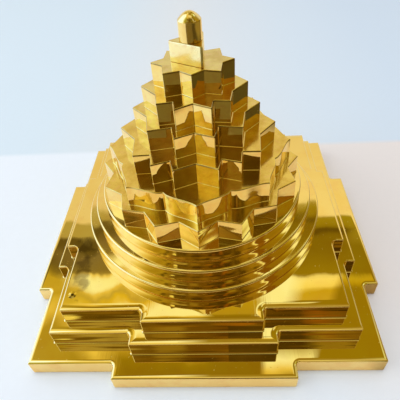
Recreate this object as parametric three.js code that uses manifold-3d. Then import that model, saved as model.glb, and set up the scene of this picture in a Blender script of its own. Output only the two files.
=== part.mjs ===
// Meru shri yantra: a stepped pyramid of polished brass plates, clamped by one tie rod.
// Millimetres, +Z up. The origin is the middle of the underside, and -Y is the front.
// From the bottom: three square plates with gates, three round steps, a ring of sixteen petals,
// a lotus of eight, star plates of fourteen, ten, ten and eight points, a triangle and the bindu.
import * as THREE from 'three';
import { mergeVertices } from 'three/addons/utils/BufferGeometryUtils.js';
import Module from 'manifold-3d';

const wasm = await Module();
wasm.setup();

// Square plates: a gate stands out from the middle of each side by its reach
const square_thickness = 8;
const lower_half_side = 70;
const lower_gate_half_width = 35.5;
const lower_gate_reach = 6.2;
const middle_half_side = 61.3;
const middle_gate_half_width = 28.8;
const middle_gate_reach = 5;
const upper_half_side = 56;
const upper_gate_half_width = 23.5;
const upper_gate_reach = 5.3;
const notch_corner = 1.6;
const gate_corner = 0.6;

// Round steps
const round_thickness = 6.5;
const lower_round_radius = 52.9;
const middle_round_radius = 48.5;
const upper_round_radius = 43.8;

// Sixteen straight-sided petals
const petal_thickness = 9;
const sixteen_count = 16;
const sixteen_tip_radius = 42.3;
const sixteen_valley_radius = 37.9;

// Eight ogee petals: a flank swells to a shoulder past the valley, then hollows to a neck under the tip
const eight_count = 8;
const eight_tip_radius = 38.4;
const eight_valley_radius = 33.1;
const eight_shoulder_radius = 35.8;
const eight_neck_radius = 35.2;
const shoulder_turn_share = 0.76;
const neck_turn_share = 0.22;

// Star plates: a quarter of each outline, from the front round to the side,
// as pairs of an angle in degrees and a share of the radius
const star_thickness = 9;
const fourteen_star_radius = 31.4;
const fourteen_star_shares = [
  [0, 0.81], [16, 0.96], [22, 0.8], [33, 0.97],
  [42, 0.82], [51, 0.98], [71, 0.83], [90, 1],
];
const outer_ten_star_radius = 25;
const outer_ten_star_shares = [[0, 0.77], [18, 0.94], [29, 0.7], [46, 0.97], [70, 0.8], [90, 1]];
const inner_ten_star_radius = 20.2;
const inner_ten_star_shares = [[0, 0.72], [20, 0.95], [29, 0.73], [44, 0.94], [64, 0.78], [90, 1]];
const eight_star_radius = 15.4;
const eight_star_shares = [[0, 0.73], [28, 0.585], [47, 0.9], [75, 0.73], [90, 1]];

// Triangle: one apex points to -X, and its inner radius is that of the circle that fits inside it
const triangle_thickness = 7.5;
const triangle_sides = 3;
const triangle_inner_radius = 4.3;
const triangle_corner = 1.3;

// Bindu: a finial nut with a blunt conical nose
const bindu_radius = 4.1;
const bindu_shank_height = 7;
const bindu_nose_height = 2.6;
const nose_fullness_share = 0.42;

// Broken edge of every plate
const edge_break = 0.4;

// Tie rod, with its nut and washer in a recess under the lowest plate
const rod_radius = 2;
const rod_engagement = 6;
const rod_stickout = 0.5;
const rod_chamfer = 0.4;
const nut_sides = 6;
const nut_across_flats = 7;
const nut_height = 3;
const nut_chamfer = 0.4;
const washer_radius = 4.5;
const washer_thickness = 0.75;
const recess_margin = 0.5;
const recess_clearance = 1;

// Dowels: dowel_web is the metal left beyond each end of a dowel's bore
const lower_dowel_radius = 2;
const lower_dowel_offset = 20;
const upper_dowel_radius = 1.5;
const upper_dowel_offset = 8.5;
const dowel_web = 3;
const dowel_chamfer = 0.4;

// Clearances, and how far a cut runs past the surface that it opens
const running_gap = 0.3;
const end_gap = 0.5;
const cut_overrun = 1;

// Facets
const disc_facets = 72;
const bindu_facets = 40;
const bore_facets = 16;
const corner_facets = 3;
const petal_facets = 7;
const nose_facets = 6;

// Finishes
const polished_brass = { color: 0xd9ab3c, roughness: 0.12, metalness: 1 };
const zinc_steel = { color: 0x9ba1a8, roughness: 0.38, metalness: 1 };

// Angles
const quarter_turn = 90;
const half_turn = 180;
const full_turn = 360;

// A point at an angle from the front, turning towards +X
function polar(radius, degrees) {
  const angle = THREE.MathUtils.degToRad(degrees);
  return new THREE.Vector2(radius * Math.sin(angle), -radius * Math.cos(angle));
}

// A shape through corners, each a point and the length that its rounding takes off both sides
function rounded_shape(corners) {
  const shape = new THREE.Shape();
  corners.forEach(({ point, rounding }, index) => {
    const previous = corners.at(index - 1).point;
    const next = corners[(index + 1) % corners.length].point;
    const entry = previous.clone().sub(point).setLength(rounding).add(point);
    const exit = next.clone().sub(point).setLength(rounding).add(point);
    if (index === 0) shape.moveTo(entry.x, entry.y);
    else shape.lineTo(entry.x, entry.y);
    shape.quadraticCurveTo(point.x, point.y, exit.x, exit.y);
  });
  shape.closePath();
  return shape;
}

function square_outline(half_side, gate_half_width, gate_reach) {
  const gate_front = half_side + gate_reach;
  const side = [
    { x: -half_side, y: -half_side, rounding: gate_corner },
    { x: -gate_half_width, y: -half_side, rounding: notch_corner },
    { x: -gate_half_width, y: -gate_front, rounding: gate_corner },
    { x: gate_half_width, y: -gate_front, rounding: gate_corner },
    { x: gate_half_width, y: -half_side, rounding: notch_corner },
  ];
  const centre = new THREE.Vector2();
  const corners = [];
  for (let turn = 0; turn < full_turn; turn += quarter_turn) {
    for (const { x, y, rounding } of side) {
      const point = new THREE.Vector2(x, y).rotateAround(centre, THREE.MathUtils.degToRad(turn));
      corners.push({ point, rounding });
    }
  }
  return rounded_shape(corners);
}

function sixteen_outline() {
  const half_pitch = half_turn / sixteen_count;
  const points = [];
  for (let tip = 0; tip < full_turn; tip += half_pitch + half_pitch) {
    points.push(polar(sixteen_tip_radius, tip), polar(sixteen_valley_radius, tip + half_pitch));
  }
  return new THREE.Shape(points);
}

function eight_outline() {
  const half_pitch = half_turn / eight_count;
  const shape = new THREE.Shape();
  const start = polar(eight_valley_radius, -half_pitch);
  shape.moveTo(start.x, start.y);
  for (let axis = 0; axis < full_turn; axis += half_pitch + half_pitch) {
    const at = (radius, side, share) => polar(radius, axis + side * share * half_pitch);
    const tip = polar(eight_tip_radius, axis);
    const valley = at(eight_valley_radius, 1, 1);
    const shoulder = (side) => at(eight_shoulder_radius, side, shoulder_turn_share);
    const neck = (side) => at(eight_neck_radius, side, neck_turn_share);
    shape.bezierCurveTo(...shoulder(-1).toArray(), ...neck(-1).toArray(), tip.x, tip.y);
    shape.bezierCurveTo(...neck(1).toArray(), ...shoulder(1).toArray(), valley.x, valley.y);
  }
  return shape;
}

// A star's quarter is mirrored to the back, and the right half to the left
function star_outline(radius, corner_shares) {
  const front = corner_shares.map(([degrees, share]) => ({ degrees, share }));
  const mirrored = (about) => ({ degrees, share }) => ({ degrees: about - degrees, share });
  const back = front.slice(0, -1).reverse().map(mirrored(half_turn));
  const right = [...front, ...back];
  const left = right.slice(1, -1).reverse().map(mirrored(full_turn));
  return new THREE.Shape([...right, ...left].map(({ degrees, share }) => polar(radius * share, degrees)));
}

function triangle_outline() {
  const corner_radius = triangle_inner_radius / Math.cos(Math.PI / triangle_sides);
  const corners = [];
  for (let turn = 0; turn < full_turn; turn += full_turn / triangle_sides) {
    corners.push({ point: polar(corner_radius, turn - quarter_turn), rounding: triangle_corner });
  }
  return rounded_shape(corners);
}

// A plate standing on z = 0, with both rims broken
function plate(outline, thickness, facets) {
  const geometry = new THREE.ExtrudeGeometry(outline, {
    depth: thickness - edge_break - edge_break,
    curveSegments: facets,
    bevelSize: edge_break,
    bevelThickness: edge_break,
    bevelOffset: -edge_break,
    bevelSegments: 1,
  });
  return geometry.translate(0, 0, edge_break);
}

// A turned piece, from pairs of a radius and a height
function turned(profile, facets) {
  const points = profile.map(([radius, height]) => new THREE.Vector2(radius, height));
  return new THREE.LatheGeometry(points, facets).rotateX(Math.PI / 2);
}

// A round bar with chamfered ends, standing on z = 0
function bar(radius, length, chamfer, facets) {
  const profile = [
    [0, 0],
    [radius - chamfer, 0],
    [radius, chamfer],
    [radius, length - chamfer],
    [radius - chamfer, length],
    [0, length],
  ];
  return turned(profile, facets);
}

// A prism around the Z axis, from bottom to top
function prism(radius, bottom, top, facets) {
  const geometry = new THREE.CylinderGeometry(radius, radius, top - bottom, facets);
  return geometry.rotateX(Math.PI / 2).translate(0, 0, (bottom + top) / 2);
}

const hole = (radius, bottom, top) => prism(radius, bottom, top, bore_facets);

function solid_of(geometry) {
  const bare = geometry.clone();
  bare.deleteAttribute('normal');
  bare.deleteAttribute('uv');
  const merged = mergeVertices(bare);
  const corners = merged.index.array;
  const kept = [];
  for (let first = 0; first < corners.length; first += 3) {
    const [a, b, c] = corners.slice(first, first + 3);
    if (a !== b && b !== c && c !== a) kept.push(a, b, c);
  }
  const vertProperties = merged.attributes.position.array;
  const mesh = new wasm.Mesh({ numProp: 3, vertProperties, triVerts: new Uint32Array(kept) });
  return new wasm.Manifold(mesh);
}

function geometry_of(solid) {
  const { vertProperties, triVerts } = solid.getMesh();
  const geometry = new THREE.BufferGeometry();
  geometry.setAttribute('position', new THREE.BufferAttribute(vertProperties, 3));
  geometry.setIndex(new THREE.BufferAttribute(triVerts, 1));
  geometry.computeVertexNormals();
  return geometry;
}

function cut(blank, tools) {
  const cut_solid = tools.reduce((solid, tool) => solid.subtract(solid_of(tool)), solid_of(blank));
  return geometry_of(cut_solid);
}

function piece(name, geometry, finish, seat) {
  const material = new THREE.MeshStandardMaterial({ ...finish, flatShading: true });
  const mesh = new THREE.Mesh(geometry, material);
  mesh.name = name;
  mesh.position.z = seat;
  return mesh;
}

// The stack: each tier is seated on the one before it
const square_plate = (...sizes) => plate(square_outline(...sizes), square_thickness, corner_facets);
const round_step = (radius) => bar(radius, round_thickness, edge_break, disc_facets);
const star_plate = (radius, shares) => plate(star_outline(radius, shares), star_thickness);
const tiers = [
  {
    name: 'lower_square_plate',
    thickness: square_thickness,
    blank: square_plate(lower_half_side, lower_gate_half_width, lower_gate_reach),
  },
  {
    name: 'middle_square_plate',
    thickness: square_thickness,
    blank: square_plate(middle_half_side, middle_gate_half_width, middle_gate_reach),
  },
  {
    name: 'upper_square_plate',
    thickness: square_thickness,
    blank: square_plate(upper_half_side, upper_gate_half_width, upper_gate_reach),
  },
  { name: 'lower_round_step', thickness: round_thickness, blank: round_step(lower_round_radius) },
  { name: 'middle_round_step', thickness: round_thickness, blank: round_step(middle_round_radius) },
  { name: 'upper_round_step', thickness: round_thickness, blank: round_step(upper_round_radius) },
  {
    name: 'sixteen_petal_plate',
    thickness: petal_thickness,
    blank: plate(sixteen_outline(), petal_thickness),
  },
  {
    name: 'eight_petal_plate',
    thickness: petal_thickness,
    blank: plate(eight_outline(), petal_thickness, petal_facets),
  },
  {
    name: 'fourteen_point_star',
    thickness: star_thickness,
    blank: star_plate(fourteen_star_radius, fourteen_star_shares),
  },
  {
    name: 'outer_ten_point_star',
    thickness: star_thickness,
    blank: star_plate(outer_ten_star_radius, outer_ten_star_shares),
  },
  {
    name: 'inner_ten_point_star',
    thickness: star_thickness,
    blank: star_plate(inner_ten_star_radius, inner_ten_star_shares),
  },
  {
    name: 'eight_point_star',
    thickness: star_thickness,
    blank: star_plate(eight_star_radius, eight_star_shares),
  },
  {
    name: 'triangle_block',
    thickness: triangle_thickness,
    blank: plate(triangle_outline(), triangle_thickness, corner_facets),
  },
];
let stack_top = 0;
for (const tier of tiers) {
  tier.seat = stack_top;
  stack_top += tier.thickness;
  tier.top = stack_top;
}
const tier_named = (name) => tiers.find((tier) => tier.name === name);

// Recess under the lowest plate, from the bottom up: margin, rod end, nut and washer
const nut_seat = recess_margin + rod_stickout;
const washer_seat = nut_seat + nut_height;
const recess_depth = washer_seat + washer_thickness;

// Dowel bores: blind in the lowest and the highest plate that each pair lines up
const lower_bore = {
  name: 'lower_dowel',
  radius: lower_dowel_radius,
  offset: lower_dowel_offset,
  bottom: dowel_web,
  top: tier_named('eight_petal_plate').top - dowel_web,
};
const upper_bore = {
  name: 'upper_dowel',
  radius: upper_dowel_radius,
  offset: upper_dowel_offset,
  bottom: tier_named('eight_petal_plate').seat + dowel_web,
  top: tier_named('eight_point_star').top - dowel_web,
};

const rod_bore_radius = rod_radius + running_gap;
const sides = [{ side: 'left', sign: -1 }, { side: 'right', sign: 1 }];
const tools = [
  hole(washer_radius + recess_clearance, -cut_overrun, recess_depth),
  hole(rod_bore_radius, recess_depth - cut_overrun, stack_top + cut_overrun),
];
for (const { radius, offset, bottom, top } of [lower_bore, upper_bore]) {
  for (const { sign } of sides) {
    tools.push(hole(radius + running_gap, bottom, top).translate(sign * offset, 0, 0));
  }
}

const yantra = new THREE.Group();
for (const { name, blank, seat } of tiers) {
  const local_tools = tools.map((tool) => tool.clone().translate(0, 0, -seat));
  yantra.add(piece(name, cut(blank, local_tools), polished_brass, seat));
}

// Bindu, screwed on the rod's upper end
const bindu_height = bindu_shank_height + bindu_nose_height;
const nose = new THREE.QuadraticBezierCurve(
  new THREE.Vector2(bindu_radius, bindu_shank_height),
  new THREE.Vector2(bindu_radius * nose_fullness_share, bindu_height),
  new THREE.Vector2(0, bindu_height),
);
const bindu_profile = [[0, 0], [bindu_radius, 0]];
for (const { x, y } of nose.getPoints(nose_facets)) bindu_profile.push([x, y]);
const bindu_bore = hole(rod_bore_radius, -cut_overrun, rod_engagement + end_gap);
const bindu_geometry = cut(turned(bindu_profile, bindu_facets), [bindu_bore]);
yantra.add(piece('bindu_finial', bindu_geometry, polished_brass, stack_top));

// Tie rod, nut and washer
const rod_length = stack_top + rod_engagement - recess_margin;
const rod = bar(rod_radius, rod_length, rod_chamfer, bore_facets);
yantra.add(piece('tie_rod', rod, zinc_steel, recess_margin));

const nut_flat_radius = nut_across_flats / 2;
const nut_corner_radius = nut_flat_radius / Math.cos(Math.PI / nut_sides);
const chamfer_radius = nut_corner_radius + nut_corner_radius - nut_flat_radius;
const chamfer_rise = nut_chamfer + nut_chamfer;
const nut_chamfers = turned([
  [0, 0],
  [nut_flat_radius, 0],
  [chamfer_radius, chamfer_rise],
  [chamfer_radius, nut_height - chamfer_rise],
  [nut_flat_radius, nut_height],
  [0, nut_height],
], bindu_facets);
const nut_prism = prism(nut_corner_radius, 0, nut_height, nut_sides);
const nut_blank = geometry_of(solid_of(nut_prism).intersect(solid_of(nut_chamfers)));
const through_nut = hole(rod_bore_radius, -cut_overrun, nut_height + cut_overrun);
yantra.add(piece('tie_rod_nut', cut(nut_blank, [through_nut]), zinc_steel, nut_seat));

const washer_blank = prism(washer_radius, 0, washer_thickness, bindu_facets);
const through_washer = hole(rod_bore_radius, -cut_overrun, washer_thickness + cut_overrun);
yantra.add(piece('tie_rod_washer', cut(washer_blank, [through_washer]), zinc_steel, washer_seat));

// Dowels, each resting on the floor of its bore
for (const { name, radius, offset, bottom, top } of [lower_bore, upper_bore]) {
  for (const { side, sign } of sides) {
    const pin = bar(radius, top - bottom - end_gap, dowel_chamfer, bore_facets);
    const dowel = piece(`${name}_${side}`, pin, zinc_steel, bottom);
    dowel.position.x = sign * offset;
    yantra.add(dowel);
  }
}

export default yantra;
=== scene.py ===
# Meru shri yantra in polished brass, dressed for a studio photograph.
# Metres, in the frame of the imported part: +Z up, -Y towards the viewer.
# The shapes are given in millimetres and all angles in degrees.
import math

import bpy
from mathutils import Matrix, Vector


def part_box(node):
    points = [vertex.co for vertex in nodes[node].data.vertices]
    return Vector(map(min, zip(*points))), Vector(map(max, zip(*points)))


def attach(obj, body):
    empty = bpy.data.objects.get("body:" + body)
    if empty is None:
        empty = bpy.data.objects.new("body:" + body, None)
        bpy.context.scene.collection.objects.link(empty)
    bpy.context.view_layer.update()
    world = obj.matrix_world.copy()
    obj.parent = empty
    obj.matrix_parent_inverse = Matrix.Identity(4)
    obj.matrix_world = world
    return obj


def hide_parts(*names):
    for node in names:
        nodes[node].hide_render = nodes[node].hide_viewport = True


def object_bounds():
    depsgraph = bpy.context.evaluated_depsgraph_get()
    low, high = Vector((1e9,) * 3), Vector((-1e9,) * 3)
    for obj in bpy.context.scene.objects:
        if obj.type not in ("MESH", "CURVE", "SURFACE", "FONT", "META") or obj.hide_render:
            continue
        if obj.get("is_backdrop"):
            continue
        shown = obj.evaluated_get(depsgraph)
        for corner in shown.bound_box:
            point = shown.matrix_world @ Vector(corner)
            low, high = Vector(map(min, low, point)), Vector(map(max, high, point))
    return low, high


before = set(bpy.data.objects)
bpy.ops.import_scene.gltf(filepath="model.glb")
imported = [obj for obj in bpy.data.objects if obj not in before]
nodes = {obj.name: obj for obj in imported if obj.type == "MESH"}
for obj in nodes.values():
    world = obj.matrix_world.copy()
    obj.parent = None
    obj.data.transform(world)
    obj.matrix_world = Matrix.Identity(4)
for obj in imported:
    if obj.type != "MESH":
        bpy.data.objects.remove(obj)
cad_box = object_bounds()
MM = 0.001

# Camera, from the photograph's perspective: the focal length is in pixels
CAMERA_PLACE = (9.44, -139.24, 161.39)
CAMERA_PITCH = 43.687
CAMERA_YAW = -4.492
CAMERA_ROLL = -4.841
CAMERA_FOCAL = 404.87
FRAME_PIXELS = 400
SENSOR = 36.0
CLIP_START = 0.01

# Square plates: half side, half width of a gate, and how far a gate stands out
SQUARES = {
    "lower_square_plate": (70.0, 35.5, 6.2),
    "middle_square_plate": (61.3, 28.8, 5.0),
    "upper_square_plate": (56.0, 23.5, 5.3),
}
# Rounding of the inner corners beside a gate, and of all the others
NOTCH_RADIUS = 1.6
GATE_RADIUS = 0.5
# Dishes in the top at the inner corners of the front gate: depth, spread, and how far from the top
# the edge still follows them
DISH_DEPTH = 0.22
DISH_SPREAD = 5.0
DISH_REACH = 0.3
# Recess for the nut and washer under the lowest square, from the middle out: radius and height
RECESS = ((2.3, 4.75), (5.5, 4.75), (5.5, 0.0))

# Round steps: radius
ROUNDS = {"lower_round_step": 52.9, "middle_round_step": 48.5, "upper_round_step": 43.8}
# How far the upright face of a round step is hollowed, and in how many steps
HOLLOW = 0.09
HOLLOW_STEPS = 8

# Petals: how many, and the radii of the tips and valleys. The eight also have the radii of the
# shoulder and the neck that bend each flank, and how far these lie from the tip to the valley.
SIXTEEN = (16, 42.3, 37.9)
EIGHT = (8, 38.4, 33.1, 35.8, 35.2, 0.76, 0.22)
PETAL_STEPS = 22
# How much narrower a petal plate is at its upper edge than at its foot, on each side
PETAL_DRAFT = 0.2

# Star plates: radius, then a quarter of the outline as degrees from the front and shares of the
# radius
STARS = {
    "fourteen_point_star": (31.4, [(0, 0.81), (16, 0.96), (22, 0.8), (33, 0.97), (42, 0.82),
                                   (51, 0.98), (71, 0.83), (90, 1)]),
    "outer_ten_point_star": (25.0, [(0, 0.77), (18, 0.94), (29, 0.7), (46, 0.97), (70, 0.8),
                                    (90, 1)]),
    "inner_ten_point_star": (20.2, [(0, 0.72), (20, 0.95), (29, 0.73), (44, 0.94), (64, 0.78),
                                    (90, 1)]),
    "eight_point_star": (15.4, [(0, 0.73), (28, 0.585), (47, 0.9), (75, 0.73), (90, 1)]),
}
# Rounding of the points of petals and stars, and of the valleys between them
TIP_RADIUS = 0.22
VALLEY_RADIUS = 0.35

# Triangle: radius of the circle that fits inside it, and rounding of its corners
TRIANGLE_INNER = 4.3
TRIANGLE_CORNER = 0.75

# Bindu: radius, height of the shank, and height of the nose on it
BINDU = (4.1, 7.0, 2.6)
# Its foot, as an inset and a rise from the bottom, and its shoulder, as an inset and a rise from
# the end of the shank
BINDU_FOOT = [(0.25, 0.0), (0.05, 0.08), (0.0, 0.3)]
BINDU_SHOULDER = [(0.0, -0.35), (0.04, -0.12), (0.18, 0.06)]
NOSE_STEPS = 14
NOSE_POWER = 1.9
NOSE_TIP = 0.03

# Steps in each rounded corner, and facets round each turned piece
SQUARE_ARC = 8
POINT_ARC = 4
TRIANGLE_ARC = 5
ROUND_FACETS = 192
BINDU_FACETS = 96
# The least rounding left when an outline is moved in, the least turn that makes a corner, and the
# angle from which an edge is shaded sharp
LEAST_RADIUS = 0.05
LEAST_TURN = 1e-6
SHARP_ANGLE = 40

# Rolled edges, as pairs of an inset from the side and a drop from the top
SOFT_ROLL = [(0.0, 1.0), (0.0, 0.68), (0.03, 0.5), (0.11, 0.36), (0.24, 0.26), (0.42, 0.19),
             (0.7, 0.128), (1.1, 0.076), (1.65, 0.036), (2.3, 0.01), (3.0, 0.0)]
LOW_ROLL = [(0.0, 1.0), (0.0, 0.68), (0.03, 0.5), (0.11, 0.36), (0.24, 0.26), (0.42, 0.17),
            (0.65, 0.09), (0.95, 0.035), (1.3, 0.01), (1.7, 0.0)]
ROUND_ROLL = [(0.0, 1.15), (0.0, 0.8), (0.03, 0.55), (0.1, 0.35), (0.22, 0.19), (0.4, 0.08),
              (0.65, 0.02), (1.0, 0.0)]
CRISP_ROLL = [(0.0, 0.5), (0.0, 0.34), (0.03, 0.2), (0.1, 0.1), (0.2, 0.03), (0.34, 0.0)]
PETAL_ROLL = [(inset + PETAL_DRAFT, drop) for inset, drop in CRISP_ROLL]
# Feet, as pairs of an inset from the side and a rise from the bottom: two rolled, two flared
SOFT_FOOT = [(0.55, 0.0), (0.32, 0.05), (0.16, 0.16), (0.05, 0.34), (0.0, 0.6)]
CRISP_FOOT = [(0.3, 0.0), (0.1, 0.07), (0.02, 0.2), (0.0, 0.4)]
FILLET_FOOT = [(-0.42, 0.0), (-0.17, 0.07), (-0.04, 0.2), (0.0, 0.42)]
FINE_FILLET = [(-0.26, 0.0), (-0.1, 0.04), (-0.02, 0.12), (0.0, 0.26)]
# On the two upper squares the roll is narrower along the left and right. FRONT_FROM is how far in
# front or behind an edge has to lie to have the full roll.
SIDE_SHARE = 0.3
FRONT_FROM = 50.0


def polar(radius, degrees):
    """A point seen from above, by its distance from the middle and its degrees from the front."""
    angle = math.radians(degrees)
    return Vector((radius * math.sin(angle), -radius * math.cos(angle)))


# Outlines: lists of a corner and its rounding radius, counter-clockwise from above

def square_corners(half, gate, reach):
    front = half + reach
    side = [(-half, -half, GATE_RADIUS), (-gate, -half, NOTCH_RADIUS),
            (-gate, -front, GATE_RADIUS), (gate, -front, GATE_RADIUS), (gate, -half, NOTCH_RADIUS)]
    corners = []
    for quarter in range(4):
        turn = Matrix.Rotation(math.radians(90 * quarter), 2)
        corners += [(turn @ Vector((x, y)), radius) for x, y, radius in side]
    return corners


def sixteen_corners(count, tip, valley):
    pitch = 360 / count
    corners = []
    for petal in range(count):
        corners.append((polar(tip, petal * pitch), TIP_RADIUS))
        corners.append((polar(valley, (petal + 0.5) * pitch), VALLEY_RADIUS))
    return corners


def eight_corners(count, tip, valley, shoulder, neck, shoulder_share, neck_share):
    half = 180 / count
    corners = []
    for petal in range(count):
        axis = petal * 2 * half
        fall = [polar(tip, axis), polar(neck, axis + neck_share * half),
                polar(shoulder, axis + shoulder_share * half), polar(valley, axis + half)]
        rise = [polar(valley, axis + half), polar(shoulder, axis + (2 - shoulder_share) * half),
                polar(neck, axis + (2 - neck_share) * half), polar(tip, axis + 2 * half)]
        for flank, radius in ((fall, TIP_RADIUS), (rise, VALLEY_RADIUS)):
            for step in range(PETAL_STEPS):
                t = step / PETAL_STEPS
                u = 1 - t
                point = (flank[0] * u**3 + flank[1] * 3 * u * u * t
                         + flank[2] * 3 * u * t * t + flank[3] * t**3)
                corners.append((point, radius if step == 0 else 0.0))
    return corners


def star_corners(radius, quarter):
    back = [(180 - degrees, share) for degrees, share in quarter[-2::-1]]
    right = quarter + back
    left = [(360 - degrees, share) for degrees, share in right[-2:0:-1]]
    points = [polar(radius * share, degrees) for degrees, share in right + left]
    corners = []
    for index, point in enumerate(points):
        before, after = points[index - 1], points[(index + 1) % len(points)]
        outward = (point - before).cross(after - point) > 0
        corners.append((point, TIP_RADIUS if outward else VALLEY_RADIUS))
    return corners


def triangle_corners():
    return [(polar(TRIANGLE_INNER * 2, turn - 90), TRIANGLE_CORNER) for turn in (0, 120, 240)]


def ring(corners, inset, arc_steps, side_share=1.0):
    """A closed ring of points: the outline moved in by inset, with its corners rounded."""
    count = len(corners)
    lines = []
    for index in range(count):
        start, end = corners[index][0], corners[(index + 1) % count][0]
        along = (end - start).normalized()
        inward = Vector((-along.y, along.x))
        share = 1.0 if min(abs(start.y), abs(end.y)) > FRONT_FROM else side_share
        lines.append((start + inward * inset * share, along))
    points = []
    for index in range(count):
        before, after = lines[index - 1], lines[index]
        turn = before[1].cross(after[1])
        if abs(turn) < LEAST_TURN:
            corner = after[0]
        else:
            reach = (after[0] - before[0]).cross(after[1]) / turn
            corner = before[0] + before[1] * reach
        radius = corners[index][1]
        if radius == 0:
            points.append(corner)
            continue
        hand = 1 if turn > 0 else -1
        radius = max(radius - inset, LEAST_RADIUS) if turn > 0 else radius + inset
        half = abs(math.atan2(turn, before[1].dot(after[1]))) / 2
        start = corner - before[1] * (radius * math.tan(half))
        centre = start + Vector((-before[1].y, before[1].x)) * hand * radius
        for step in range(arc_steps + 1):
            swept = Matrix.Rotation(2 * half * hand * step / arc_steps, 2)
            points.append(centre + swept @ (start - centre))
    return points


def build(name, rings):
    """A closed solid from rings of equal length, from the bottom to the top."""
    vertices = [tuple(point) for one in rings for point in one]
    size = len(rings[0])
    faces = [list(range(size))[::-1]]
    for level in range(len(rings) - 1):
        low, high = level * size, (level + 1) * size
        for index in range(size):
            following = (index + 1) % size
            faces.append([low + index, low + following, high + following, high + index])
    faces.append([(len(rings) - 1) * size + index for index in range(size)])
    mesh = bpy.data.meshes.new(name)
    mesh.from_pydata([[c * MM for c in v] for v in vertices], [], faces)
    mesh.update()
    piece = bpy.data.objects.new(name, mesh)
    bpy.context.scene.collection.objects.link(piece)
    for face in mesh.polygons:
        face.use_smooth = True
    mesh.set_sharp_from_angle(angle=math.radians(SHARP_ANGLE))
    weighted = piece.modifiers.new("weighted", "WEIGHTED_NORMAL")
    weighted.keep_sharp = True
    weighted.weight = 100
    return piece


def extruded(name, node, corners, foot, roll, arc_steps, dishing=(), side_share=1.0, recess=()):
    """A tier from its outline, its foot and its rolled edge, as high as the solid of the node."""
    low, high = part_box(node)
    bottom, top = low.z / MM, high.z / MM
    levels = [(inset, bottom + rise, 1.0) for inset, rise in foot]
    levels += [(inset, top - drop, side_share) for inset, drop in roll]
    rings = []
    for inset, height, share in levels:
        one = []
        for point in ring(corners, inset, arc_steps, share):
            dish = 0.0
            if height > top - DISH_REACH:
                for place in dishing:
                    away = (point - place).length / DISH_SPREAD
                    dish += DISH_DEPTH * math.exp(-away * away)
            one.append((point.x, point.y, height - dish))
        rings.append(one)
    under = [[(x * radius / math.hypot(x, y), y * radius / math.hypot(x, y), bottom + rise)
              for x, y, _ in rings[0]] for radius, rise in recess]
    return build(name, under + rings)


def turned(name, node, profile, facets):
    """A round piece from pairs of a radius and a height, from the foot to the middle of the top."""
    low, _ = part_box(node)
    turns = [2 * math.pi * index / facets for index in range(facets)]
    return build(name, [[(radius * math.cos(turn), radius * math.sin(turn), low.z / MM + height)
                         for turn in turns] for radius, height in profile])


# The pieces, by the node that each stands for

pieces = {}
for node, (half, gate, reach) in SQUARES.items():
    corners = square_corners(half, gate, reach)
    dishing = [Vector((side * gate, -half)) for side in (-1, 1)]
    if node == "lower_square_plate":
        shape = {"foot": SOFT_FOOT, "roll": LOW_ROLL, "recess": RECESS}
    else:
        shape = {"foot": FILLET_FOOT, "roll": SOFT_ROLL, "side_share": SIDE_SHARE}
    pieces[node] = extruded(
        node + "_brass", node, corners, arc_steps=SQUARE_ARC, dishing=dishing, **shape)

for node, radius in ROUNDS.items():
    low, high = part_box(node)
    height = (high.z - low.z) / MM
    profile = [(radius - inset, rise) for inset, rise in SOFT_FOOT]
    face_low, face_high = SOFT_FOOT[-1][1], height - ROUND_ROLL[0][1]
    for step in range(1, HOLLOW_STEPS):
        t = step / HOLLOW_STEPS
        hollow = HOLLOW * math.sin(math.pi * t)
        profile.append((radius - hollow, face_low + (face_high - face_low) * t))
    profile += [(radius - inset, height - drop) for inset, drop in ROUND_ROLL]
    pieces[node] = turned(node + "_brass", node, profile, ROUND_FACETS)

pieces["sixteen_petal_plate"] = extruded(
    "sixteen_petals_brass", "sixteen_petal_plate", sixteen_corners(*SIXTEEN), FINE_FILLET,
    PETAL_ROLL, POINT_ARC)
pieces["eight_petal_plate"] = extruded(
    "eight_petals_brass", "eight_petal_plate", eight_corners(*EIGHT), FINE_FILLET, PETAL_ROLL,
    POINT_ARC)
for node, (radius, quarter) in STARS.items():
    pieces[node] = extruded(
        node + "_brass", node, star_corners(radius, quarter), FINE_FILLET, CRISP_ROLL, POINT_ARC)
pieces["triangle_block"] = extruded(
    "triangle_brass", "triangle_block", triangle_corners(), CRISP_FOOT, CRISP_ROLL, TRIANGLE_ARC)

bindu_radius, shank, nose = BINDU
bindu_profile = [(bindu_radius - inset, rise) for inset, rise in BINDU_FOOT]
bindu_profile += [(bindu_radius - inset, shank + rise) for inset, rise in BINDU_SHOULDER]
shoulder, nose_foot = bindu_profile[-1]
for step in range(1, NOSE_STEPS):
    share = 1 - step / NOSE_STEPS
    climbed = (shank + nose - nose_foot) * (1 - share ** NOSE_POWER)
    bindu_profile.append((shoulder * share, nose_foot + climbed))
bindu_profile.append((NOSE_TIP, shank + nose))
pieces["bindu_finial"] = turned("bindu_brass", "bindu_finial", bindu_profile, BINDU_FACETS)


# Materials

def material(name, colour, metallic=1.0, roughness=0.1):
    made = bpy.data.materials.new(name)
    made.use_nodes = True
    tree = made.node_tree
    shader = tree.nodes["Principled BSDF"]
    shader.inputs["Base Color"].default_value = (*colour, 1)
    shader.inputs["Metallic"].default_value = metallic
    shader.inputs["Roughness"].default_value = roughness
    return made, tree, shader


def coordinates(tree, kind):
    return tree.nodes.new("ShaderNodeTexCoord").outputs[kind]


def axes(tree, vector):
    """The X, Y and Z of a vector."""
    node = tree.nodes.new("ShaderNodeSeparateXYZ")
    tree.links.new(vector, node.inputs["Vector"])
    return [node.outputs[axis] for axis in "XYZ"]


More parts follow.
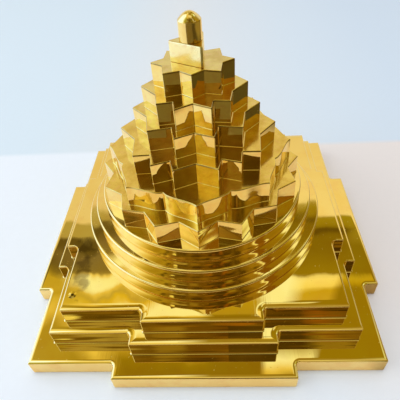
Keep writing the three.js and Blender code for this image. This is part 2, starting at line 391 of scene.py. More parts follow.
def noise(tree, coordinate, scale, detail=2.0, stretch=None, seed=0.0):
    mapping = tree.nodes.new("ShaderNodeMapping")
    mapping.inputs["Location"].default_value = (seed, seed * 0.7, seed * 1.3)
    if stretch:
        mapping.inputs["Scale"].default_value = stretch
    tree.links.new(coordinate, mapping.inputs["Vector"])
    texture = tree.nodes.new("ShaderNodeTexNoise")
    texture.inputs["Scale"].default_value = scale
    texture.inputs["Detail"].default_value = detail
    tree.links.new(mapping.outputs["Vector"], texture.inputs["Vector"])
    return texture.outputs["Fac"]


def ranged(tree, value, low, high, to_low=0.0, to_high=1.0):
    """A value that runs from low to high made to run from to_low to to_high, and held there."""
    node = tree.nodes.new("ShaderNodeMapRange")
    for socket, number in (
            ("From Min", low), ("From Max", high), ("To Min", to_low), ("To Max", to_high)):
        node.inputs[socket].default_value = number
    tree.links.new(value, node.inputs["Value"])
    return node.outputs["Result"]


def blended(tree, factor, first, second):
    """One colour turning into another."""
    node = tree.nodes.new("ShaderNodeMix")
    node.data_type = "RGBA"
    tree.links.new(factor, node.inputs["Factor"])
    for index, colour in ((6, first), (7, second)):
        if isinstance(colour, tuple):
            node.inputs[index].default_value = (*colour, 1)
        else:
            tree.links.new(colour, node.inputs[index])
    return node.outputs[2]


def mixed(tree, factor, first, second):
    """One value turning into another."""
    node = tree.nodes.new("ShaderNodeMix")
    for value, socket in ((factor, 0), (first, 2), (second, 3)):
        tree.links.new(value, node.inputs[socket])
    return node.outputs[0]


def calculated(tree, operation, first, second=None):
    node = tree.nodes.new("ShaderNodeMath")
    node.operation = operation
    for index, value in enumerate((first, second)):
        if isinstance(value, (int, float)):
            node.inputs[index].default_value = value
        elif value is not None:
            tree.links.new(value, node.inputs[index])
    return node.outputs["Value"]


def product(tree, first, *others):
    for other in others:
        first = calculated(tree, "MULTIPLY", first, other)
    return first


def distance(tree, first, second):
    squares = [calculated(tree, "POWER", side, 2.0) for side in (first, second)]
    return calculated(tree, "SQRT", calculated(tree, "ADD", *squares))


def within(tree, value, rising, falling, share=1.0):
    """share where the value lies between two limits, each a pair that it rises or falls over."""
    return product(tree, ranged(tree, value, *rising, 0.0, share),
                   ranged(tree, value, *falling, 1.0, 0.0))


def patch(tree, across, up, across_rising, across_falling, up_rising, up_falling, share=1.0):
    """share inside a patch of two values, each with the limits it rises over and falls over."""
    return product(tree, within(tree, across, across_rising, across_falling),
                   within(tree, up, up_rising, up_falling, share))


def in_degrees(tree, operation, *values):
    return product(tree, calculated(tree, operation, *values), 180 / math.pi)


def ramp(tree, value, low, high, stops):
    """Colours along a value from low to high, at stops in the same measure as the value."""
    node = tree.nodes.new("ShaderNodeValToRGB")
    elements = node.color_ramp.elements
    while len(elements) < len(stops):
        elements.new(0.5)
    for element, (stop, colour) in zip(elements, stops):
        element.position = (stop - low) / (high - low)
        element.color = (*colour, 1)
    tree.links.new(ranged(tree, value, low, high), node.inputs["Fac"])
    return node.outputs["Color"]


def banded(tree, value, low, high, across, bands):
    """Ramps of a value, each with the limits of across over which it takes over from the last."""
    for limits, stops in bands:
        colours = ramp(tree, value, low, high, stops)
        if limits is None:
            shown = colours
        else:
            shown = blended(tree, ranged(tree, across, *limits), shown, colours)
    return shown


def bumped(tree, height, distance, below=None):
    node = tree.nodes.new("ShaderNodeBump")
    node.inputs["Strength"].default_value = 1.0
    node.inputs["Distance"].default_value = distance
    tree.links.new(height, node.inputs["Height"])
    if below is not None:
        tree.links.new(below, node.inputs["Normal"])
    return node.outputs["Normal"]


def blot(tree, place, centre, turn, radii, ragged=0.0):
    """1 in the middle of an ellipse seen from above, and 0 outside it."""
    mapping = tree.nodes.new("ShaderNodeMapping")
    mapping.vector_type = "TEXTURE"
    mapping.inputs["Location"].default_value = (centre[0] * MM, centre[1] * MM, 0)
    mapping.inputs["Rotation"].default_value = (0, 0, math.radians(turn))
    mapping.inputs["Scale"].default_value = (radii[0] * MM, radii[1] * MM, 1000)
    tree.links.new(place, mapping.inputs["Vector"])
    length = tree.nodes.new("ShaderNodeVectorMath")
    length.operation = "LENGTH"
    tree.links.new(mapping.outputs["Vector"], length.inputs[0])
    away = length.outputs["Value"]
    if ragged:
        torn = noise(tree, place, TORN_SCALE, 4.0, seed=11.0)
        away = calculated(tree, "ADD", away, ranged(tree, torn, *TORN_RANGE, -ragged, ragged))
    return ranged(tree, away, 0.45, 1.0, 1.0, 0.0)


# Tones of the brass, in pairs that a noise blends
PLATE_GOLD = ((0.93, 0.70, 0.25), (0.91, 0.65, 0.20))
STAR_GOLD = ((0.93, 0.73, 0.26), (0.92, 0.65, 0.20))
STAR_TOP = ((0.84, 0.62, 0.16), (0.70, 0.47, 0.095))
SATIN = ((0.98, 0.87, 0.47), (0.96, 0.79, 0.37))
TRIANGLE_SATIN = ((1.0, 0.92, 0.5), (1.0, 0.85, 0.42))
TARNISH = (0.86, 0.54, 0.22)
# Brown painted along the rolled upper edges as a dark reflection, and how high up a tier it sets in
RIM_PAINTED_REFLECTION = (0.26, 0.15, 0.035)
RIM_FROM = (0.92, 0.95)
# Marks on the upper square: brown smudges, as a centre, a turn and two radii, and one small pit
# whose dark middle is painted shade
SMUDGE = (0.37, 0.26, 0.10)
SMUDGE_RAGGED = 0.45
SMUDGE_SHARE = 0.8
SMUDGES = (((-50.6, -38.0), 4, (3.6, 12.0)), ((-52.0, -24.0), 20, (5.0, 7.0)))
PIT = (-52.4, -48.9)
PIT_RADIUS = 0.95
PIT_SLOPE_RADIUS = 1.7
PIT_SHADE = (0.07, 0.05, 0.02)
# Roughness of a mirror
MIRROR = (0.01, 0.035)
# How level a surface is, by the Z of its normal: from a side to a top
LEVEL_FROM = (0.55, 0.85)
# Scales of the noises, as features in a metre
SWELL_SCALE = 1 / 0.018
STREAK_SCALE = 16
LINE_SCALE = 90
HAZE_SCALE = 110
RIM_SCALE = 150
TORN_SCALE = 260
SPECK_SCALE = 1300
# The part of each noise's range that counts
TONE_RANGE = (0.42, 0.66)
BLOTCH_RANGE = (0.52, 0.66)
HAZE_RANGE = (0.35, 0.7)
RIM_RANGE = (0.3, 0.55)
TORN_RANGE = (0.3, 0.7)
SPECK_RANGE = (0.77, 0.84)
# Heights of the fine relief, in metres
LINE_RELIEF = 0.0000005
RUBBED_RELIEF = 0.000006
SPECK_RELIEF = 0.00002
PIT_RELIEF = -0.00007
# How far from a gate's inner corner the lines are rubbed deeper, in metres
RUBBED_REACH = (0.003, 0.009)


def brass(name, seed, top=PLATE_GOLD, side=PLATE_GOLD, top_rough=MIRROR, side_rough=MIRROR,
          swell=0.00006, streaked=0.00012, tarnish=0.25, grain=60, notch=None, marked=False,
          painted_rim=0.0, lean=0.0):
    """A finish, with tones and roughnesses for the tops and for the sides.

    swell is the height of the broad swell and streaked that of the level streaks on the sides, in
    metres. tarnish is how strong the blotches are, and grain is the scale of the tones. notch is
    the half side and half gate of a square, whose inner corners are rubbed. marked adds the
    smudges and the pit. rim is how strong the painted dark reflection is along the upper edges.
    lean is how steeply the tops seem to slope down to the front.
    """
    made, tree, shader = material(name, top[0])
    place = coordinates(tree, "Object")
    across, along, _ = axes(tree, place)
    normal = tree.nodes.new("ShaderNodeNewGeometry").outputs["Normal"]
    level = ranged(tree, axes(tree, normal)[2], *LEVEL_FROM)
    upright = calculated(tree, "SUBTRACT", 1.0, level)

    tone = ranged(tree, noise(tree, place, grain, 5.0, seed=seed), *TONE_RANGE)
    colour = blended(tree, level, blended(tree, tone, *side), blended(tree, tone, *top))
    blotch = noise(tree, place, grain * 2.5, 5.0, seed=seed + 4)
    colour = blended(tree, ranged(tree, blotch, *BLOTCH_RANGE, 0.0, tarnish), colour, TARNISH)
    if painted_rim:
        # A painted dark reflection along the upper edges of the sides, broken up by a noise
        edge = ranged(tree, axes(tree, coordinates(tree, "Generated"))[2], *RIM_FROM)
        rim_reflection_noise = noise(tree, place, RIM_SCALE, 3.0, seed=seed + 6)
        edge = product(tree, edge, upright, ranged(tree, rim_reflection_noise, *RIM_RANGE, painted_rim * 0.4, painted_rim))
        colour = blended(tree, edge, colour, RIM_PAINTED_REFLECTION)
    if marked:
        for centre, turn, radii in SMUDGES:
            smudge = blot(tree, place, centre, turn, radii, SMUDGE_RAGGED)
            colour = blended(tree, product(tree, smudge, SMUDGE_SHARE), colour, SMUDGE)
        # The pit's dark middle is painted shade in its hollow
        pit = blot(tree, place, PIT, 0, (PIT_RADIUS, PIT_RADIUS))
        colour = blended(tree, pit, colour, PIT_SHADE)
    tree.links.new(colour, shader.inputs["Base Color"])

    haze = noise(tree, place, HAZE_SCALE, 5.0, seed=seed + 3)
    top_haze = ranged(tree, haze, *HAZE_RANGE, *top_rough)
    side_haze = ranged(tree, haze, *HAZE_RANGE, *side_rough)
    tree.links.new(mixed(tree, level, side_haze, top_haze), shader.inputs["Roughness"])

    normal = bumped(tree, noise(tree, place, SWELL_SCALE, 0.5, seed=seed + 5), swell)
    streaks = noise(tree, place, STREAK_SCALE, 1.0, stretch=(1, 1, 16), seed=seed + 2)
    normal = bumped(tree, product(tree, streaks, upright), streaked, normal)
    lines = noise(tree, place, LINE_SCALE, 2.0, stretch=(16, 0.5, 1), seed=seed + 7)
    normal = bumped(tree, lines, LINE_RELIEF, normal)
    if notch:
        half, gate = (size * MM for size in notch)
        distant = [calculated(tree, "ABSOLUTE", value) for value in (across, along)]
        outer = calculated(tree, "SUBTRACT", calculated(tree, "MAXIMUM", *distant), half)
        inner = calculated(tree, "SUBTRACT", calculated(tree, "MINIMUM", *distant), gate)
        rubbed = ranged(tree, distance(tree, outer, inner), *RUBBED_REACH, 1.0, 0.0)
        normal = bumped(tree, product(tree, lines, rubbed), RUBBED_RELIEF, normal)
    if lean:
        normal = bumped(tree, along, lean, normal)
    speck = noise(tree, place, SPECK_SCALE, 1.0, seed=seed + 9)
    normal = bumped(tree, ranged(tree, speck, *SPECK_RANGE), SPECK_RELIEF, normal)
    if marked:
        slope = blot(tree, place, PIT, 0, (PIT_SLOPE_RADIUS, PIT_SLOPE_RADIUS))
        normal = bumped(tree, slope, PIT_RELIEF, normal)
    tree.links.new(normal, shader.inputs["Normal"])
    return made


# What the triangle, the stars and the petals have in common, and more that the last two have
STAR_LOOK = {"top": STAR_TOP, "top_rough": (0.10, 0.18), "swell": 0.00008, "tarnish": 0.4,
             "grain": 190}
POINT_LOOK = {**STAR_LOOK, "side": STAR_GOLD, "side_rough": (0.02, 0.07), "streaked": 0.00006}

finishes = {
    "middle_square_plate": brass(
        "middle_square_plate_finish", 1.0, notch=SQUARES["middle_square_plate"][:2]),
    "upper_square_plate": brass(
        "upper_square_plate_finish", 5.0, notch=SQUARES["upper_square_plate"][:2], marked=True),
    "lower_square_plate": brass(
        "lower_square_plate_finish", 4.0, notch=SQUARES["lower_square_plate"][:2], side=SATIN,
        side_rough=(0.34, 0.46), streaked=0.00005),
    **dict.fromkeys(ROUNDS, brass(
        "round_brass", 2.0, top_rough=(0.03, 0.08), swell=0.00010, streaked=0.00014, tarnish=0.3,
        lean=0.018)),
    "triangle_block": brass(
        "triangle_finish", 8.0, side=TRIANGLE_SATIN, side_rough=(0.20, 0.30), streaked=0.00004,
        **STAR_LOOK),
    "bindu_finial": brass(
        "bindu_brass_finish", 6.0, top_rough=(0.02, 0.08), side_rough=(0.09, 0.15),
        swell=0.00012, streaked=0.00004, tarnish=0.3, grain=190),
    **dict.fromkeys(("sixteen_petal_plate", "eight_petal_plate"), brass(
        "petal_brass", 3.0, painted_rim=0.35, **POINT_LOOK)),
    **dict.fromkeys(STARS, brass("star_brass", 3.0, painted_rim=0.9, **POINT_LOOK)),
}
for node, piece in pieces.items():
    piece.data.materials.append(finishes[node])
    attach(piece, "root")
    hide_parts(node)

# Zinc plate on the rod, nut, washer and dowels, which are the solids of the part itself
ZINC_DARK = (0.42, 0.43, 0.46)
ZINC_LIGHT = (0.66, 0.66, 0.64)
ZINC_ROUGH = (0.28, 0.45)
ZINC_SCALE = 400
ZINC_RELIEF = 0.00005
steel, tree, shader = material("zinc_steel", (0.55, 0.56, 0.58), roughness=0.35)
spangle = noise(tree, coordinates(tree, "Object"), ZINC_SCALE, 4.0)
tree.links.new(blended(tree, spangle, ZINC_DARK, ZINC_LIGHT), shader.inputs["Base Color"])
tree.links.new(ranged(tree, spangle, 0.3, 0.7, *ZINC_ROUGH), shader.inputs["Roughness"])
tree.links.new(bumped(tree, spangle, ZINC_RELIEF), shader.inputs["Normal"])
for node, thing in nodes.items():
    if node not in pieces:
        thing.data.materials.clear()
        thing.data.materials.append(steel)


# Floor

# White paper in front and a pale blue sheet behind. In reflections the paper ends 11 to 13.5 cm
# out in front and to the right, and the room past it is dim. Places on it are in metres.
FLOOR_REACH = 15.0
BACKDROP = (0.80, 0.86, 0.92)
FAR_FLOOR = (0.765, 0.825, 0.88)
# Tones of the front paper, by place across: to the right a painted shade, warmed with painted light
# thrown back from the brass
FRONT_SHADING_STOPS = [(-0.15, (0.86, 0.91, 0.965)), (0.0, (0.85, 0.905, 0.965)),
               (0.066, (0.86, 0.80, 0.77)), (0.15, (0.86, 0.79, 0.75))]
BACK_STOPS = [(-0.12, (0.71, 0.82, 0.895)), (-0.03, (0.79, 0.815, 0.83)),
              (0.075, (0.715, 0.805, 0.885)), (0.15, (0.68, 0.78, 0.885))]
FIBRE = (0.6, 0.6, 0.6)
# How far out the tones of the sheets change, and how much those in front slant
TONES_REACH = 0.15
TONES_SLANT = 0.6
# Where the two sheets meet behind the part, and how the line softens from some way to the sides
SHEETS_MEET = 0.079
SOFT_FROM = (0.22, 1.0)
SOFTNESS = (0.002, 0.7)
# Tones of the floor in reflections: lit by the window, away from it, in the shade to the right,
# and past its ends
MIRRORED_LIT = (0.98, 0.99, 0.99)
MIRRORED_WARM = (0.94, 0.77, 0.52)
MIRRORED_SHADE = (0.42, 0.28, 0.14)
PAST_FRONT = (0.19, 0.14, 0.035)
PAST_RIGHT = (0.085, 0.062, 0.010)
FAR_RIGHT = (0.34, 0.26, 0.06)
# Where these begin and end: the shade as a patch, the front end only to the right of a slanting
# line, and the right end farther out from OPENS_FROM backwards
WARM_FROM = (-0.11, -0.07)
SHADE = ((0.064, 0.070), (0.084, 0.090), (-0.085, -0.070), (-0.036, -0.030))
FRONT_END = (-0.120, -0.112)
FRONT_SLANT = 0.9
SLANT_FROM = (0.03, 0.06)
RIGHT_END = (0.115, 0.135)
OPENS_FROM = 0.06
FAR_RIGHT_FROM = (0.24, 0.27)
FAR_RIGHT_BACK = (0.10, 0.20)
# How far out the floor turns into the backdrop
FADE = (0.5, 1.0)

floor_mesh = bpy.data.meshes.new("floor")
floor_mesh.from_pydata([(x * FLOOR_REACH, y * FLOOR_REACH, 0)
                        for x, y in ((-1, -1), (1, -1), (1, 1), (-1, 1))], [], [(0, 1, 2, 3)])
floor = bpy.data.objects.new("floor", floor_mesh)
bpy.context.scene.collection.objects.link(floor)
paper, tree, shader = material("paper", (0.86, 0.90, 0.94), 0.0, 0.6)
place = coordinates(tree, "Object")
across, along, _ = axes(tree, place)

# Seen directly
shaded = calculated(tree, "ADD", across, product(tree, along, TONES_SLANT))
# The front paper's painted shade and warm bounced light to the right
front_shading = ramp(tree, shaded, -TONES_REACH, TONES_REACH, FRONT_SHADING_STOPS)
back_tone = ramp(tree, across, -TONES_REACH, TONES_REACH, BACK_STOPS)
softened = ranged(tree, calculated(tree, "ABSOLUTE", across), *SOFT_FROM, *SOFTNESS)
behind = calculated(tree, "DIVIDE", calculated(tree, "SUBTRACT", along, SHEETS_MEET), softened)
white = blended(tree, ranged(tree, behind, -1.0, 1.0), front_shading, back_tone)
fibre = noise(tree, place, 300, 5.0)
white = blended(tree, ranged(tree, fibre, 0.3, 0.8, 0.0, 0.05), white, FIBRE)
path = tree.nodes.new("ShaderNodeLightPath")
fade = product(tree, ranged(tree, distance(tree, across, along), *FADE),
               path.outputs["Is Camera Ray"])
white = blended(tree, fade, white, (0.0, 0.0, 0.0))

# Seen in the brass
mirrored_floor = blended(tree, ranged(tree, across, *WARM_FROM), MIRRORED_LIT, MIRRORED_WARM)
mirrored_floor = blended(
    tree, patch(tree, across, along, *SHADE), mirrored_floor, MIRRORED_SHADE)
slant = calculated(tree, "SUBTRACT", across, product(tree, along, FRONT_SLANT))
front_end = product(tree, ranged(tree, along, *FRONT_END, 1.0, 0.0),
                    ranged(tree, slant, *SLANT_FROM))
mirrored_floor = blended(tree, front_end, mirrored_floor, PAST_FRONT)
opening = calculated(tree, "MAXIMUM", calculated(tree, "SUBTRACT", along, OPENS_FROM), 0.0)
right_end = ranged(tree, calculated(tree, "SUBTRACT", across, opening), *RIGHT_END)
mirrored_floor = blended(tree, right_end, mirrored_floor, PAST_RIGHT)
far_right = product(tree, ranged(tree, across, *FAR_RIGHT_FROM),
                    ranged(tree, along, *FAR_RIGHT_BACK, 1.0, 0.0))
mirrored_floor = blended(tree, far_right, mirrored_floor, FAR_RIGHT)

tree.links.new(blended(tree, path.outputs["Is Glossy Ray"], white, mirrored_floor),
               shader.inputs["Base Color"])
shader.inputs["Emission Color"].default_value = (*FAR_FLOOR, 1)
tree.links.new(fade, shader.inputs["Emission Strength"])
floor_mesh.materials.append(paper)
floor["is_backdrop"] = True


# World

# Plain pale light. In reflections it is a room: a pale wall ahead, a window to the left, and dim
# walls to the right and behind the camera.
FILL = (0.60, 0.62, 0.65)
PALE = (0.84, 0.87, 0.92)
WALL = (0.88, 0.79, 0.54)
WARM_WALL = (1.0, 0.92, 0.62)
OLIVE = (0.51, 0.45, 0.17)
DARK_OLIVE = (0.40, 0.335, 0.015)
UMBER = (0.15, 0.10, 0.005)
DARK = (0.145, 0.11, 0.025)
GOLDEN = (0.34, 0.25, 0.006)
DEEP_CLOUD = (0.86, 0.67, 0.03)
CLOUD = (0.92, 0.76, 0.18)
BRIGHT = (1.08, 1.2, 0.95)
LOW_CEILING = (0.30, 0.21, 0.008)
WINDOW = (1.2, 1.65, 3.0)
HIGH_WINDOW = (1.2, 1.6, 2.6)
HOT = (1.15, 1.5, 1.9)
RUSSET = (0.26, 0.155, 0.012)

# The wall ahead, in strips from left to right: the bearings over which each takes over from the
# last, and its colours by rise. The first three stops are the same in all.
WALL_FOOT = [(0, PALE), (27, PALE), (35, WALL)]
WALL_STRIPS = [
    (None, WALL_FOOT + [
        (46.3, WALL), (46.5, OLIVE), (48.7, OLIVE), (49.0, DARK), (52.6, DARK),
        (53.6, (0.27, 0.21, 0.03)), (54.0, (0.60, 0.48, 0.05)), (55.4, (0.64, 0.50, 0.06)),
        (56.6, (0.58, 0.45, 0.04)), (57.6, (0.74, 0.60, 0.09)), (59.2, CLOUD), (64.6, CLOUD),
        (66.4, (0.50, 0.37, 0.03)), (67.6, GOLDEN), (69, LOW_CEILING), (90, LOW_CEILING)]),
    ((-36, -31), WALL_FOOT + [
        (46.3, WALL), (46.5, OLIVE), (48.7, OLIVE), (49.0, DARK), (50.2, DARK),
        (51.2, (0.25, 0.20, 0.08)), (53.4, (0.29, 0.23, 0.06)), (53.7, CLOUD), (54.3, BRIGHT),
        (55.8, BRIGHT), (56.2, CLOUD), (57.0, (0.60, 0.50, 0.10)), (57.8, DEEP_CLOUD),
        (59.2, BRIGHT), (61.8, BRIGHT), (62.8, CLOUD), (64.0, (0.56, 0.42, 0.04)),
        (65.4, GOLDEN), (67, LOW_CEILING), (90, LOW_CEILING)]),
    ((-8, -4), WALL_FOOT + [
        (45.4, WALL), (45.6, OLIVE), (47.2, OLIVE), (47.6, DARK), (52.4, GOLDEN),
        (53.8, BRIGHT), (57.0, BRIGHT), (57.8, (0.56, 0.41, 0.01)), (60, (0.50, 0.38, 0.03)),
        (62.5, GOLDEN), (65, LOW_CEILING), (90, LOW_CEILING)]),
    ((10, 12), WALL_FOOT + [
        (46.4, WARM_WALL), (46.6, DARK_OLIVE), (48.1, (0.34, 0.26, 0.01)), (48.4, UMBER),
        (49.0, UMBER), (49.3, (0.25, 0.18, 0.006)), (51.6, (0.26, 0.185, 0.006)),
        (54.6, GOLDEN), (54.9, (1.08, 1.02, 0.5)), (56.2, (1.05, 0.96, 0.35)),
        (56.8, (0.66, 0.50, 0.02)), (58.1, (0.66, 0.50, 0.06)), (58.9, GOLDEN),
        (63.4, GOLDEN), (65.4, BRIGHT), (66.6, CLOUD), (68, LOW_CEILING), (90, LOW_CEILING)]),
    ((24, 26), WALL_FOOT + [
        (46.4, WARM_WALL), (46.6, DARK_OLIVE), (50, (0.33, 0.26, 0.02)),
        (51, (0.27, 0.20, 0.006)), (54.6, (0.30, 0.225, 0.006)), (55.0, (0.62, 0.50, 0.03)),
        (55.7, (0.56, 0.42, 0.01)), (56.4, GOLDEN), (75, GOLDEN), (90, CLOUD)]),
]
# A bright patch on the wall ahead: the bearings and rises that it comes up and goes down over
SHEEN = ((7.5, 11), (15, 19), (54.3, 55.2), (63.2, 64.2))

# The sides and the back, in bands from the floor up: the heights over which each takes over from
# the last, and its colours by bearing
SIDE_BANDS = [
    (None, [
        (-180, (0.32, 0.26, 0.12)), (-150, (0.40, 0.34, 0.18)), (-128, (1.0, 1.05, 1.0)),
        (-112, WINDOW), (-60, WINDOW), (-40, PALE), (40, PALE), (56, (0.50, 0.42, 0.20)),
        (70, (0.33, 0.24, 0.02)), (105, (0.16, 0.11, 0.01)), (150, (0.14, 0.10, 0.02)),
        (180, (0.30, 0.24, 0.10))]),
    ((17, 25), [
        (-180, (0.10, 0.075, 0.012)), (-160, (0.18, 0.125, 0.03)), (-156, (0.33, 0.26, 0.12)),
        (-142, (0.33, 0.26, 0.12)), (-138, (0.82, 0.80, 0.36)), (-122, (0.97, 0.95, 0.40)),
        (-118, (1.12, 1.2, 1.0)), (-104, (1.15, 1.3, 1.5)), (-100, WINDOW), (-62, WINDOW),
        (-48, (1.0, 1.08, 1.1)), (20, (0.75, 0.80, 0.9)), (44, (0.62, 0.62, 0.6)),
        (58, (0.58, 0.60, 0.5)), (61, (0.37, 0.29, 0.03)), (80, (0.40, 0.31, 0.04)),
        (99, (0.40, 0.31, 0.04)), (103, RUSSET), (115, (0.34, 0.20, 0.03)),
        (119, (0.41, 0.32, 0.05)), (139, (0.40, 0.32, 0.07)), (144, (0.15, 0.11, 0.012)),
        (162, (0.14, 0.10, 0.012)), (166, (0.33, 0.25, 0.14)), (172, (0.30, 0.22, 0.10)),
        (176, (0.09, 0.065, 0.010))]),
    ((45, 47), [
        (-180, (0.18, 0.12, 0.012)), (-160, (0.17, 0.135, 0.02)), (-146, (0.17, 0.14, 0.02)),
        (-142, (0.26, 0.22, 0.03)), (-131, (0.48, 0.47, 0.08)), (-120, (0.46, 0.45, 0.08)),
        (-112, (0.62, 0.64, 0.22)), (-102, (0.97, 1.1, 0.95)), (-92, HIGH_WINDOW),
        (-64, HIGH_WINDOW), (-55, (1.03, 1.0, 0.5)), (-46, (0.96, 0.88, 0.32)),
        (-42, (0.98, 1.0, 0.8)), (40, (0.62, 0.64, 0.4)), (50, (0.80, 0.90, 0.5)),
        (70, (0.50, 0.50, 0.05)), (80, (0.36, 0.30, 0.02)), (100, (0.33, 0.27, 0.02)),
        (103, RUSSET), (114, RUSSET), (115.5, HOT), (117, HOT), (118.5, (0.41, 0.33, 0.045)),
        (130, (0.35, 0.28, 0.035)), (132, (0.25, 0.19, 0.02)), (139, (0.22, 0.165, 0.015)),
        (142, (0.11, 0.082, 0.008)), (165, (0.12, 0.085, 0.010)),
        (176, (0.17, 0.115, 0.012))]),
]
# Patches on them: the bearings and heights that each comes up and goes down over, how much of it
# shows, and its colour
SIDE_PATCHES = [
    ((54, 57), (66, 70), (44, 46), (52, 54), 1.0, HOT),
    ((-148, -146.5), (-144, -142), (49.3, 50), (52.6, 53.6), 1.0, (1.1, 1.35, 1.1)),
    ((101, 102.5), (105, 106.5), (43, 44.5), (47.5, 48.5), 0.85, HOT),
    ((-170, -167), (-160, -158), (59.5, 61), (63, 65), 0.6, (0.38, 0.37, 0.11)),
    ((-159, -155), (-139, -137), (56, 57.5), (60, 61.5), 0.8, (0.53, 0.56, 0.32)),
    ((145, 148), (154, 158), (58.5, 60), (63, 65), 0.8, (0.38, 0.37, 0.08)),
]
# One more, over the seam between the wall ahead and the left side
SEAM_PATCH = ((-53, -49), (-41, -37), (51.5, 53), (59.5, 61), 0.85)
SEAM = (0.42, 0.32, 0.02)
# Tones of the ragged patches behind and to the right
LIGHTER = (0.40, 0.31, 0.06)
DARKER = (0.05, 0.035, 0.004)
WARM = (0.42, 0.20, 0.02)
WAVES = (0.47, 0.24, 0.02)
DIM = (0.075, 0.06, 0.008)

# Where the wall ahead ends to both sides, and from where the patches behind show
AHEAD_ENDS = (45, 49)
BACK_FROM = (118, 128)

# Overhead, by rise: a bright strip to the left, and a soft one straight up to the right
OVER_LEFT = [(60, (1.1, 1.25, 1.3)), (76, (1.1, 1.2, 1.0)), (84, (0.95, 0.85, 0.35)),
             (105, (0.80, 0.68, 0.22)), (120, (0.50, 0.38, 0.08))]
OVER_RIGHT = [(60, (0.36, 0.27, 0.03)), (88, (0.40, 0.31, 0.05)), (92, (0.95, 0.92, 0.6)),
              (102, (0.95, 0.92, 0.6)), (107, (0.30, 0.22, 0.03)), (120, (0.20, 0.15, 0.02))]
OVER_SEAM = (-0.12, -0.04)
OVER_FROM = (67, 69)

world = bpy.data.worlds.new("studio")
bpy.context.scene.world = world
world.use_nodes = True
tree = world.node_tree
background = tree.nodes["Background"]
direction = coordinates(tree, "Generated")
rightward, forward, upward = axes(tree, direction)

# Height above the horizon and bearing from straight ahead, both made to waver a little
azimuth = in_degrees(tree, "ARCTAN2", rightward, forward)
sway = ranged(tree, noise(tree, direction, 5.0, 3.0), 0.2, 0.8, -1.0, 1.0)
height = calculated(tree, "ADD", in_degrees(tree, "ARCSINE", upward), sway)
side_sway = ranged(tree, noise(tree, direction, 4.0, 3.0, seed=6.0), 0.2, 0.8, -2.0, 2.0)
bearing = calculated(tree, "ADD", azimuth, side_sway)
sideways = calculated(tree, "ABSOLUTE", bearing)
# How high a direction meets the plane of the wall ahead: 90 is straight up, 180 straight behind
ragged = ranged(tree, noise(tree, direction, 14.0, 3.0, seed=8.0), 0.25, 0.75, -1.2, 1.2)
ragged = product(tree, ragged, ranged(tree, bearing, -8, 4, 1.0, 0.3))
rise = calculated(tree, "ADD", in_degrees(tree, "ARCTAN2", upward, forward), ragged)

ahead = banded(tree, rise, 0, 90, bearing, WALL_STRIPS)
ahead = blended(tree, patch(tree, azimuth, rise, *SHEEN), ahead, BRIGHT)

sides = banded(tree, bearing, -180, 180, height, SIDE_BANDS)
for *limits, colour in SIDE_PATCHES:
    sides = blended(tree, patch(tree, bearing, height, *limits), sides, colour)
# Lighter and darker patches behind, and a few warm ones on the right of them
at_back = ranged(tree, sideways, *BACK_FROM)
patchy = noise(tree, direction, 8.0, 1.5, seed=12.0)
lighter = product(tree, ranged(tree, patchy, 0.52, 0.70, 0.0, 0.45), at_back)
sides = blended(tree, lighter, sides, LIGHTER)
darker = product(tree, ranged(tree, patchy, 0.47, 0.34, 0.0, 0.7), at_back)
sides = blended(tree, darker, sides, DARKER)
warm = ranged(tree, noise(tree, direction, 7.0, 2.0, seed=3.0), 0.52, 0.62, 0.0, 0.8)
warm = product(tree, warm, ranged(tree, bearing, 150, 158),
               within(tree, height, (51, 54), (59.5, 61)))
sides = blended(tree, warm, sides, WARM)
# Fine waves straight behind, and a dim part over them on the right
waves = noise(tree, direction, 24.0, 1.5, stretch=(0.45, 1, 1), seed=5.0)
straight_back = calculated(tree, "MAXIMUM", ranged(tree, bearing, 158, 166),
                           ranged(tree, bearing, -174, -166, 1.0, 0.0))
waves = product(tree, ranged(tree, waves, 0.56, 0.63, 0.0, 0.7), straight_back,
                within(tree, height, (55, 57), (60, 61.5)))
sides = blended(tree, waves, sides, WAVES)
dim = product(tree, ranged(tree, bearing, 155, 162, 0.0, 0.75), ranged(tree, height, 59.5, 61))
sides = blended(tree, dim, sides, DIM)

room = blended(tree, ranged(tree, sideways, *AHEAD_ENDS, 1.0, 0.0), sides, ahead)
room = blended(tree, patch(tree, bearing, height, *SEAM_PATCH), room, SEAM)
overhead = blended(tree, ranged(tree, rightward, *OVER_SEAM),
                   ramp(tree, rise, 60, 120, OVER_LEFT), ramp(tree, rise, 60, 120, OVER_RIGHT))
room = blended(tree, ranged(tree, height, *OVER_FROM), room, overhead)

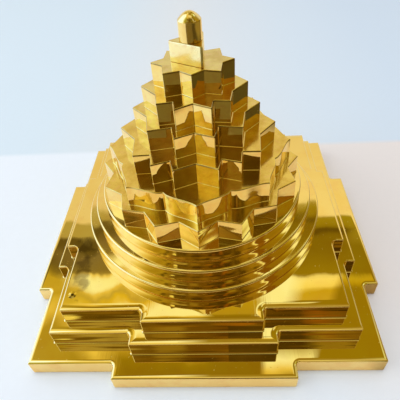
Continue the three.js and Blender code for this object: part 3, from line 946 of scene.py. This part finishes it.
path = tree.nodes.new("ShaderNodeLightPath")
mirrored = calculated(tree, "MAXIMUM", path.outputs["Is Glossy Ray"],
                      path.outputs["Is Transmission Ray"])
lit = blended(tree, path.outputs["Is Camera Ray"], FILL, BACKDROP)
tree.links.new(blended(tree, mirrored, lit, room), background.inputs["Color"])
background.inputs["Strength"].default_value = 1.0


# Lamps: place, size, power and colour. The room in the reflections already has the window and the
# ceiling light in it, so the lamps don't show there.
LAMPS = {
    "window": ((-1.25, 0.0, 0.72), (1.9, 1.2), 8.6, (0.95, 0.98, 1.0)),
    "soft_top": ((0.0, -0.02, 1.2), (0.5, 0.4), 3.7, (1.0, 0.99, 0.97)),
}
LAMP_TARGET = Vector((0, 0, 0.04))
for name, (place, size, power, colour) in LAMPS.items():
    light = bpy.data.lights.new(name, "AREA")
    light.shape = "RECTANGLE"
    light.size, light.size_y = size
    light.energy = power
    light.color = colour
    holder = bpy.data.objects.new(name, light)
    bpy.context.scene.collection.objects.link(holder)
    holder.location = place
    aim = LAMP_TARGET - Vector(place)
    holder.rotation_euler = aim.to_track_quat("-Z", "Y").to_euler()
    holder.visible_glossy = False


# Camera

pitch, yaw, roll = (math.radians(a) for a in (CAMERA_PITCH, CAMERA_YAW, CAMERA_ROLL))
view = Vector((math.sin(yaw) * math.cos(pitch), math.cos(yaw) * math.cos(pitch), -math.sin(pitch)))
level_right = Vector((math.cos(yaw), -math.sin(yaw), 0))
level_up = level_right.cross(view)
right = level_right * math.cos(roll) + level_up * math.sin(roll)
up = level_up * math.cos(roll) - level_right * math.sin(roll)
camera_data = bpy.data.cameras.new("camera")
camera_data.sensor_width = SENSOR
camera_data.lens = CAMERA_FOCAL * SENSOR / FRAME_PIXELS
camera_data.clip_start = CLIP_START
camera = bpy.data.objects.new("camera", camera_data)
bpy.context.scene.collection.objects.link(camera)
camera.matrix_world = Matrix.Translation(Vector(CAMERA_PLACE) * MM) @ Matrix(
    (right, up, -view)).transposed().to_4x4()
bpy.context.scene.camera = camera
bpy.context.scene.view_settings.view_transform = "Standard"

corners = [[list(corner) for corner in box] for box in (cad_box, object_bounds())]
